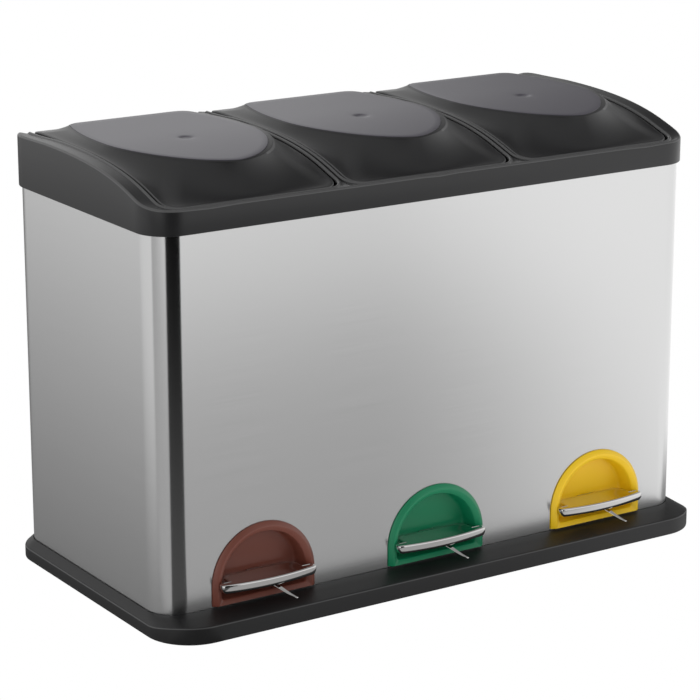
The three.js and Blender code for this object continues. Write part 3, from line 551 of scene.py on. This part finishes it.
def lid_piece(side):
    xc = CENTRES[side]
    edge = lid_edge(0)
    angles = [math.atan2(y - MID_Y, x) for x, y in edge]

    def flat(inset):
        """Outline of the flat top. Outside it, the bevel is broad on the right and narrow on the left."""
        out = []
        for a in angles:
            broad = 0.25 + 0.75 * smoothstep(-0.1, 0.6, math.cos(a))
            r = flat_reach(a, inset * broad if inset < 0 else inset)
            out.append((r * math.cos(a), MID_Y + r * math.sin(a)))
        return out

    crease = flat(-4.8)
    seat = flat(0.3)

    def scoop(share, inner, outer, drop=0.0, below=1.4):
        ring = []
        for (ax, ay), (bx, by) in zip(inner, outer):
            high = droop(ay) - below
            low = edge_z(by)
            fall = 1 - (1 - share) ** 1.55
            ring.append((ax + (bx - ax) * share, ay + (by - ay) * share, high + (low - high) * fall - drop))
        return ring

    rounded_edge = lid_edge(1.1)
    rings = [scoop(1.0, crease, lid_edge(2.2), 8.0)]
    rings.append([(x, y, edge_z(y) - 8.0) for x, y in lid_edge(0.0)])
    rings.append([(x, y, edge_z(y) - 1.3) for x, y in edge])
    rings.append([(x, y, edge_z(y) - 0.6) for x, y in lid_edge(0.25)])
    rings.append([(x, y, edge_z(y) - 0.15) for x, y in lid_edge(0.6)])
    for share in (1.0, 0.94, 0.87, 0.79, 0.7, 0.6, 0.5, 0.4, 0.31, 0.22, 0.14, 0.08, 0.03, 0.0):
        rings.append(scoop(share, crease, rounded_edge))
    first_edge = len(rings) - 2
    for inset, drop in ((-4.4, 1.16), (-3.0, 0.95), (-1.6, 0.7), (-0.5, 0.45), (0.0, 0.35), (0.15, 0.45)):
        rings.append([(x, y, droop(y) - drop) for x, y in flat(inset)])
    rings.append([(x, y, droop(y) - 0.6) for x, y in seat])
    rings.append([(x, y, droop(y) - 1.7) for x, y in seat])
    centre_ring = [(x * 0.02, MID_Y + (y - MID_Y) * 0.02, TOP_Z - 1.7) for x, y in seat]
    half_seat = [(x * 0.5, MID_Y + (y - MID_Y) * 0.5) for x, y in seat]
    rings.append([(x, y, droop(y) - 1.7) for x, y in half_seat])
    rings.append(centre_ring)
    # underside
    lower = [scoop(share, flat(0.5), lid_edge(2.2), 2.2) for share in (1.0, 0.7, 0.4, 0.15)]
    under = []
    for t in (1.0, 0.8, 0.6, 0.4, 0.2, 0.04):
        inner = [(x * t, MID_Y + (y - MID_Y) * t) for x, y in flat(2.5)]
        under.append([(x, y, droop(y) - 4.2) for x, y in inner])
    top = skin(rings, caps=(False, True))
    count = len(edge)
    # painted highlights: the lighter copy of the black goes on the crease right of the flat top and along the
    # lid's rounded outer edge
    on_right = [i for i in range(count) if math.cos(angles[i]) > 0.35]
    painted_highlight_faces = [k * count + i for k in (first_edge, first_edge + 1) for i in on_right]
    painted_highlight_faces += range(2 * count, 5 * count)
    verts, faces = skin([rings[0]] + lower + under, caps=(False, True))
    parts = [top, (verts, turned(faces))]
    # hinge knuckles and the crank the push rod lifts
    outline = [(LID_BACK - 9, HINGE_Z + 5)] + arc(HINGE_Y, HINGE_Z, KNUCKLE_R, KNUCKLE_R, 180, 360, 14)
    outline += [(HINGE_Y + 3, HINGE_Z + 5), (LID_BACK - 1, HINGE_Z + 9), (LID_BACK - 9, HINGE_Z + 10)]
    for s in (-1, 1):
        parts.append(plate(outline, s * KNUCKLE_X - KNUCKLE_W / 2, KNUCKLE_W))
    rod_low, rod_high = box_mm(f"push_rod_{side}")
    rod_y = (rod_low[1] + rod_high[1]) / 2
    crank_z = rod_high[2] + CRANK_R + 0.8
    parts.append(plate(arc(rod_y, crank_z, CRANK_R, CRANK_R, 0, 345, 23), -5.0, 10.0))
    parts.append(block(-2.9, 2.9, rod_y - 2.9, rod_y + 2.9, crank_z, TOP_Z - 8.5))
    verts, faces = joined(parts)
    verts = [(x + xc, y, z) for x, y, z in verts]
    name, body = f"lid_moulding_{side}", f"lid_body_{side}"
    obj = make(name, verts, faces, BLACK, body, smooth=38, merge=0.004, second=HIGHLIGHT_PAINT, painted_highlight_faces=painted_highlight_faces)
    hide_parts(f"lid_{side}")

    # smoky insert, with a small moulded dimple
    rings = [[(x, y, droop(y) - 1.3) for x, y in flat(0.45)]]
    rings.append([(x, y, droop(y) - 0.35) for x, y in flat(0.45)])
    rings.append([(x, y, droop(y) - 0.1) for x, y in flat(0.6)])
    rings.append([(x, y, droop(y)) for x, y in flat(1.0)])
    rim = flat(1.0)
    for t in (0.08, 0.18, 0.3, 0.42, 0.54, 0.66, 0.78):
        ring = []
        for x, y in rim:
            py = y + (DIMPLE_Y - y) * t
            ring.append((x - x * t, py, droop(py)))
        rings.append(ring)
    for radius, depth in DIMPLE:
        ring = []
        for x, y in rim:
            a = math.atan2(y - DIMPLE_Y, x)
            py = DIMPLE_Y + radius * math.sin(a)
            ring.append((radius * math.cos(a), py, droop(py) - depth))
        rings.append(ring)
    verts, faces = skin(rings, caps=(True, True))
    verts = [(x + xc, y, z) for x, y, z in verts]
    obj = make(f"lid_insert_{side}", verts, faces, PANEL, body, smooth=40)
    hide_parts(f"lid_panel_{side}")


# ------------------------------------------------------------------ plinth
def plinth_outline(grow):
    front, back = 44 + grow, 36 + grow
    return rounded(
        PLINTH_LOW[0] - grow, PLINTH_HIGH[0] + grow, PLINTH_LOW[1] - grow, PLINTH_HIGH[1] + grow,
        (front, front, back, back), CURVE_STEPS,
    )


def plinth_piece():
    steel = body_outline(0.8)
    groove = body_outline(0.3)
    inner = body_outline(-1.3)
    well = body_outline(-6.0)

    def between(t):
        return [(a + (c - a) * t, b + (d - b) * t) for (a, b), (c, d) in zip(plinth_outline(0), steel)]

    def brow(y):
        """Top of the upright wall: higher along the front."""
        return 12.5 + 4.3 * smoothstep(PLINTH_LOW[1] + 46, PLINTH_LOW[1] + 8, y)

    def slope(t):
        pairs = zip(between(t), plinth_outline(0))
        return [(x, y, brow(oy) + (LEDGE_Z - brow(oy)) * t) for (x, y), (_, oy) in pairs]

    rings = [
        lifted(plinth_outline(-4), 4.0),
        lifted(plinth_outline(-3.6), 1.2),
        lifted(plinth_outline(-1.0), 1.0),
        lifted(plinth_outline(-0.3), 1.3),
        lifted(plinth_outline(0), 2.2),
        [(x, y, brow(y) - 0.9) for x, y in plinth_outline(0)],
        [(x, y, brow(y) - 0.35) for x, y in plinth_outline(-0.15)],
        [(x, y, brow(y)) for x, y in plinth_outline(-0.6)],
        slope(0.09),
        slope(0.3),
        slope(0.6),
        [(x, y, LEDGE_Z - 0.35) for x, y in between(0.97)],
        lifted(steel, LEDGE_Z - 0.5),
        lifted(groove, LEDGE_Z - 1.0),
        lifted(groove, 9.8),
        lifted(inner, 9.8),
        lifted(inner, 16.0),
        lifted(well, 16.0),
        lifted(well, 7.0),
    ]
    parts = [skin(rings, caps=(True, True))]
    count = len(rings[0])
    # the rounded top of the upright wall takes the lighter copy: a painted highlight line
    painted_highlight_faces = range(5 * count, 7 * count)
    # bearers under each bucket, and the lugs that hold the lever's pin
    for xc in CENTRES.values():
        for s in (-1, 1):
            parts.append(block(xc + s * 62 - 3, xc + s * 62 + 3, -82, 94, 6.5, PLINTH_HIGH[2]))
            parts.append(block(xc + s * 11 - 2, xc + s * 11 + 2, -37, -19, 6.5, 26))
    obj = make("plinth_moulding", *joined(parts), PLINTH, "body", smooth=40, second=PLINTH_HIGHLIGHT_PAINT, painted_highlight_faces=painted_highlight_faces)
    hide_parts("base_plinth")


def surround_piece(side):
    """An arched moulding with a ridge round its face and a recess for the toe."""
    xc = CENTRES[side]
    face = FRONT - 4.5
    levels = [
        (53.5, 21.0, 0.3, FRONT - 0.3),
        (53.5, 21.0, 0.3, FRONT - 0.9),
        (53.3, 21.1, 0.4, FRONT - 1.3),
        (52.8, 21.1, 0.5, FRONT - 1.8),
        (50.1, 21.3, 0.8, face + 0.25),
        (49.5, 21.4, 0.9, face + 0.04),
        (49.0, 21.5, 1.0, face),
        (48.5, 21.6, 1.1, face + 0.1),
        (45.3, 25.2, 2.8, face + 1.9),
        (44.8, 25.5, 3.0, face + 2.3),
        (44.4, 25.7, 3.2, face + 2.9),
        (44.1, 25.9, 3.4, FRONT - 1.0),
        (43.4, 26.6, 4.0, FRONT + 14.0),
        (42.0, 27.8, 4.0, FRONT + 15.6),
        (40.2, 29.4, 4.0, FRONT + 16.0),
    ]
    rear_levels = [
        (53.5, 21.0, 0.3, FRONT - 0.3),
        (48.8, 23.5, 0.3, FRONT - 0.3),
        (48.8, 23.5, 0.3, FRONT + 18.0),
    ]

    def shell(rows):
        rings = [[(xc + x, y, z) for x, z in arch(half, foot, corner)] for half, foot, corner, y in rows]
        return skin(rings, caps=(False, True))

    verts, faces = shell(rear_levels)
    parts = [shell(levels), (verts, turned(faces))]
    obj = make(f"surround_moulding_{side}", *joined(parts), SURROUND[side], "body", smooth=40, merge=0.004)
    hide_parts(f"pedal_surround_{side}")
    # a thin black sheet on the back wall of the recess, where the lever goes through, stands for the opening:
    # painted shade
    opening_shade = block(xc - 9.5, xc + 9.5, FRONT + 15.2, FRONT + 15.8, 27.8, 41.5)
    obj = make(f"lever_opening_shade_{side}", *opening_shade, RUBBER, "body", smooth=0)


PEDAL_FRONT = FRONT - 18.0
PEDAL_HALF, PEDAL_BULGE, PEDAL_CORNER = 49.0, 5.2, 3.4


def pedal_outline(inset):
    """Seen from above: a bowed front, rounded ends, shoulders, and a tongue that enters the recess."""
    half, bulge = PEDAL_HALF, PEDAL_BULGE
    radius = (half**2 + bulge**2) / (2 * bulge)
    cy = PEDAL_FRONT + radius
    r = radius - inset
    sweep = math.degrees(math.asin((half - PEDAL_CORNER - inset) / r))
    tongue = 39.0 - inset
    rear = FRONT + 12.0 - inset
    end = arc(0, cy, r, r, 270 - sweep, 270 + sweep, 40)
    ex, ey = end[-1]
    side_r = PEDAL_CORNER - min(inset, 2.4) * 0.5
    shoulder = FRONT - 5.3 - 0.5 * inset
    right = arc(ex, ey + side_r, side_r, side_r, -62, 0, 8)
    right += arc(ex + side_r - 0.6, shoulder - 0.6, 0.6, 0.6, 0, 90, 4)
    right += [(tongue + 0.6, shoulder), (tongue, shoulder + 0.6)]
    right += arc(tongue - 9, rear - 9, 9, 9, 0, 90, 8)
    left = [(-x, y) for x, y in reversed(right)]
    return end[1:-1] + right + left


def pedal_piece(side):
    xc = CENTRES[side]
    low, high = box_mm(f"pedal_{side}")
    z0, z1 = low[2] - 0.6, high[2]

    def rim(y):
        """The folded edge runs round the front and dies out where the tongue enters the recess."""
        return z0 + (z1 - 1.9 - z0) * smoothstep(FRONT - 5.5, FRONT - 3.0, y)

    rings = [[(xc + x, y, z1 - 1.6) for x, y in pedal_outline(2.0)]]
    for inset, lift in ((2.1, 0.3), (1.9, 0.0), (1.5, 0.2), (1.0, 0.9), (0.5, 2.0), (0.15, 3.4), (0.0, 4.8)):
        rings.append([(xc + x, y, min(rim(y) + lift, z1 - 1.5)) for x, y in pedal_outline(inset)])
    top = ((0.05, 1.5), (0.25, 0.9), (0.7, 0.35), (1.3, 0.0), (2.0, 0.0), (2.3, 0.15), (2.6, 0.45), (3.0, 0.6))
    for inset, drop in top:
        rings.append([(xc + x, y, z1 - drop) for x, y in pedal_outline(inset)])
    verts, faces = skin(rings, caps=(True, True))
    obj = make(f"pedal_plate_{side}", verts, faces, POLISHED, f"pedal_body_{side}", smooth=45)
    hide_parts(f"pedal_{side}")


def spring_piece(side):
    """A tapering leaf from the pedal's underside down to the ledge."""
    xc = CENTRES[side]
    low, high = box_mm(f"pedal_spring_{side}")
    top, foot = high[2] - 1.0, low[2]
    rings = []
    for i in range(25):
        u = i / 24
        z = top + (foot - top) * smoothstep(0.0, 1.0, u) * 0.25 + (foot - top) * u * 0.75
        y = FRONT - 5.2 - 16.6 * u
        cx = -1 + 23 * u
        half = 2.8 - 1.9 * u
        thick = 0.9 - 0.3 * u
        x0, x1 = xc + cx - half, xc + cx + half
        rings.append([
            (x0, y, z + 0.1), (x0 + 0.3, y - 0.1, z), (x1 - 0.3, y - 0.1, z), (x1, y, z + 0.1),
            (x1, y, z + thick - 0.1), (x1 - 0.3, y + 0.1, z + thick), (x0 + 0.3, y + 0.1, z + thick),
            (x0, y, z + thick - 0.1),
        ])
    verts, faces = skin(rings, caps=(True, True))
    obj = make(f"leaf_spring_{side}", verts, faces, POLISHED, f"pedal_body_{side}", smooth=40)
    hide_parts(f"pedal_spring_{side}")
    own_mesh(obj)


# ------------------------------------------------------------------ buckets
BUCKET_TOP = 348.0
BUCKET_R = 22.0
BAIL_Y, BAIL_Z = -3.0, 353.0  # the handle's axis
EAR_X, EAR_R, EAR_W = 80.5, 4.4, 4.8


def bucket_piece(side):
    xc = CENTRES[side]
    low, high = box_mm(f"inner_bucket_{side}")
    top, foot = BUCKET_TOP, low[2]

    def at(inset, z):
        r = max(4.0, BUCKET_R - inset * 0.3)
        points = rounded(low[0] + inset, high[0] - inset, low[1] + inset, high[1] - inset, (r, r, r, r))
        return lifted(points, z)

    rings = [
        at(14.6, foot), at(12.1, foot + 0.6), at(12.0, foot + 2), at(3.2, top - 6), at(0.6, top - 6),
        at(0.05, top - 5.5), at(0.0, top - 1.5), at(0.4, top - 0.4), at(1.2, top), at(4.2, top),
        at(5.0, top - 0.5), at(5.2, top - 1.5), at(14.0, foot + 4), at(16.0, foot + 2),
    ]
    parts = [skin(rings, caps=(True, True))]
    outline = [(BAIL_Y - 5, top - 4), (BAIL_Y + 5, top - 4)] + arc(BAIL_Y, BAIL_Z, EAR_R, EAR_R, 0, 180, 14)
    for s in (-1, 1):
        parts.append(plate(outline, xc + s * EAR_X - EAR_W / 2, EAR_W))
    obj = make(f"bucket_moulding_{side}", *joined(parts), BUCKET, "body", smooth=35)
    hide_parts(f"inner_bucket_{side}")


# ------------------------------------------------------------------ build
steel_body()
frame_piece()
plinth_piece()
for side in SIDES:
    lid_piece(side)
    surround_piece(side)
    pedal_piece(side)
    spring_piece(side)
    bucket_piece(side)

# the frame's own pieces that stay in view, by the start of their names
SHOWN = {
    "push_rod": ZINC, "pedal_lever": ZINC, "lever_pin": ZINC, "hinge_rod": ZINC,
    "rod_guide": PLINTH, "bucket_handle": BUCKET, "rubber_foot": RUBBER,
}
for name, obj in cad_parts.items():
    for prefix, material in SHOWN.items():
        if name.startswith(prefix):
            obj.data.materials.clear()
            obj.data.materials.append(material)

# ------------------------------------------------------------------ studio
def staged(name, verts, faces, material):
    """A mesh in metres that belongs to the studio."""
    mesh = bpy.data.meshes.new(name)
    mesh.from_pydata(verts, [], faces)
    mesh.materials.append(material)
    obj = bpy.data.objects.new(name, mesh)
    bpy.context.collection.objects.link(obj)
    return obj


def sheet(name, size, z, material):
    corners = [(-size, -size, z), (size, -size, z), (size, size, z), (-size, size, z)]
    return staged(name, corners, [(0, 1, 2, 3)], material)


def emissive(name):
    mat = bpy.data.materials.new(name)
    mat.use_nodes = True
    nodes = mat.node_tree.nodes
    nodes.clear()
    out = nodes.new("ShaderNodeOutputMaterial")
    light = nodes.new("ShaderNodeEmission")
    mat.node_tree.links.new(light.outputs["Emission"], out.inputs["Surface"])
    return mat, light


class Maths:
    """Short spelling for chains of maths nodes."""

    def __init__(self, tree):
        self.tree = tree

    def op(self, kind, *values, clamp=False):
        node = self.tree.nodes.new("ShaderNodeMath")
        node.operation = kind
        node.use_clamp = clamp
        for socket, value in zip(node.inputs, values):
            if isinstance(value, (int, float)):
                socket.default_value = value
            else:
                self.tree.links.new(value, socket)
        return node.outputs[0]

    def ramp(self, value, low, high, start, end, smooth=True):
        node = self.tree.nodes.new("ShaderNodeMapRange")
        node.interpolation_type = "SMOOTHSTEP" if smooth else "LINEAR"
        self.tree.links.new(value, node.inputs["Value"])
        for key, v in (("From Min", low), ("From Max", high), ("To Min", start), ("To Max", end)):
            node.inputs[key].default_value = v
        return node.outputs["Result"]


# the white sweep that the camera sees
WHITE, light = emissive("white_sweep")
light.inputs["Color"].default_value = (1, 1, 1, 1)
light.inputs["Strength"].default_value = 1.0
sheet("floor", 60, 0.0, WHITE)

# a white wall far round the object, for low views: the camera alone sees it, so it lights and mirrors nothing
WALL_R, WALL_H, WALL_SIDES = 20.0, 16.0, 48
turns = [2 * math.pi * i / WALL_SIDES for i in range(WALL_SIDES)]
points = [(WALL_R * math.cos(a), WALL_R * math.sin(a), z) for z in (0.0, WALL_H) for a in turns]
following = [(i, (i + 1) % WALL_SIDES) for i in range(WALL_SIDES)]
wall = staged("wall", points, [(i, j, WALL_SIDES + j, WALL_SIDES + i) for i, j in following], WHITE)
wall.visible_diffuse = wall.visible_glossy = wall.visible_transmission = wall.visible_shadow = False

# what the object sees of the floor: darker close by and to the left, a black flag in front of the left corner
CARD, light = emissive("floor_card")
tree = CARD.node_tree
m = Maths(tree)
coords = tree.nodes.new("ShaderNodeTexCoord")
split = tree.nodes.new("ShaderNodeSeparateXYZ")
tree.links.new(coords.outputs["Object"], split.inputs["Vector"])
x, y = split.outputs["X"], split.outputs["Y"]
ahead = m.op("MULTIPLY", m.op("ADD", y, -FRONT / MM), -1.0)
beside = m.op("MULTIPLY", m.op("ADD", x, HALF_W / MM), -1.0)
distance = m.op("MAXIMUM", ahead, beside)
slanted = m.op("SUBTRACT", x, m.op("MULTIPLY", ahead, 0.66))
to_right = m.ramp(slanted, -0.08, 0.42, 0.0, 0.62)
front_side = m.ramp(ahead, 0.0, 0.05, 0.0, 1.0)
near_front = m.op("MINIMUM", m.op("ADD", m.ramp(ahead, 0.7, 1.25, 0.44, 1.02), to_right), 1.12)
right_side = m.ramp(x, HALF_W / MM + 0.02, HALF_W / MM + 0.3, 0.0, 0.85)
near_side = m.op("ADD", m.ramp(beside, 0.0, 1.0, 0.22, 0.84, smooth=False), right_side)
left_share = m.op("SUBTRACT", 1.0, front_side)
base = m.op("ADD", m.op("MULTIPLY", near_front, front_side), m.op("MULTIPLY", near_side, left_share))
corner_x = m.op("ADD", x, (HALF_W - BODY_R) / MM)
corner_y = m.op("MULTIPLY", m.op("ADD", y, -(FRONT + BODY_R) / MM), -1.0)
angle = m.op("ARCTAN2", corner_x, corner_y)
flag = m.op("MULTIPLY", m.ramp(angle, -0.66, -0.62, 0.0, 1.0), m.ramp(angle, 0.2, 0.27, 1.0, 0.0))
black = m.ramp(distance, 0.12, 1.1, 0.09, 0.0)
unflagged = m.op("SUBTRACT", 1.0, flag)
total = m.op("ADD", m.op("MULTIPLY", base, unflagged), m.op("MULTIPLY", black, flag))
tree.links.new(total, light.inputs["Strength"])
card = sheet("floor_card", 8, 0.0004, CARD)
card.visible_camera = False
card.visible_diffuse = False

# tall black flag in front of the left corner
FLAG, light = emissive("black_flag")
light.inputs["Strength"].default_value = 0.0
FLAG_AWAY, FLAG_LOW, FLAG_HIGH = 1.25, 0.001, 2.2
away = [math.radians(a) for a in (-38, -20, -4, 14)]
corner = ((-HALF_W + BODY_R) / MM, (FRONT + BODY_R) / MM)
foot = [(corner[0] + FLAG_AWAY * math.sin(a), corner[1] - FLAG_AWAY * math.cos(a)) for a in away]
points = [(x, y, z) for z in (FLAG_LOW, FLAG_HIGH) for x, y in foot]
flag_card = staged("black_flag", points, [(i, i + 1, i + 5, i + 4) for i in range(3)], FLAG)
flag_card.visible_camera = False
flag_card.visible_diffuse = False

# soft surround: bright, with a darker patch behind the right-hand lids
world = bpy.data.worlds.new("studio")
world.use_nodes = True
tree = world.node_tree
m = Maths(tree)
coords = tree.nodes.new("ShaderNodeTexCoord")
split = tree.nodes.new("ShaderNodeSeparateXYZ")
tree.links.new(coords.outputs["Generated"], split.inputs["Vector"])
x, y, z = split.outputs["X"], split.outputs["Y"], split.outputs["Z"]
side_on = m.op("SUBTRACT", m.op("MULTIPLY", x, 0.8355), m.op("MULTIPLY", y, 0.5496))
patch = m.op("MULTIPLY", m.ramp(side_on, -0.04, 0.1, 0.0, 1.0), m.ramp(side_on, 0.3, 0.6, 1.0, 0.0))
behind = m.ramp(y, 0.0, 0.4, 0.0, 1.0)
level = m.op("SUBTRACT", 1.0, m.op("MULTIPLY", m.op("MULTIPLY", patch, behind), 0.72))
overhead = m.ramp(z, 0.25, 0.9, 1.0, 0.55)
above_right = m.op("MULTIPLY", m.ramp(x, 0.2, 0.6, 0.0, 0.5), m.ramp(z, 0.4, 0.7, 0.0, 1.0))
level = m.op("MULTIPLY", level, m.op("SUBTRACT", 1.0, above_right))
tree.links.new(m.op("MULTIPLY", level, overhead), tree.nodes["Background"].inputs["Strength"])
tree.nodes["Background"].inputs["Color"].default_value = (1, 1, 1, 1)
bpy.context.scene.world = world
bpy.context.scene.view_settings.view_transform = "Standard"


# ------------------------------------------------------------------ camera
camera_data = bpy.data.cameras.new("camera")
camera = bpy.data.objects.new("camera", camera_data)
bpy.context.collection.objects.link(camera)
yaw, pitch = math.radians(33.114), math.radians(15.859)
camera.location = (-1.36154, -2.06445, 0.89338)
forward = Vector((math.sin(yaw) * math.cos(pitch), math.cos(yaw) * math.cos(pitch), -math.sin(pitch)))
camera.rotation_euler = forward.to_track_quat("-Z", "Y").to_euler()
camera_data.sensor_width = 36.0
camera_data.lens = 138.7923
bpy.context.scene.camera = camera
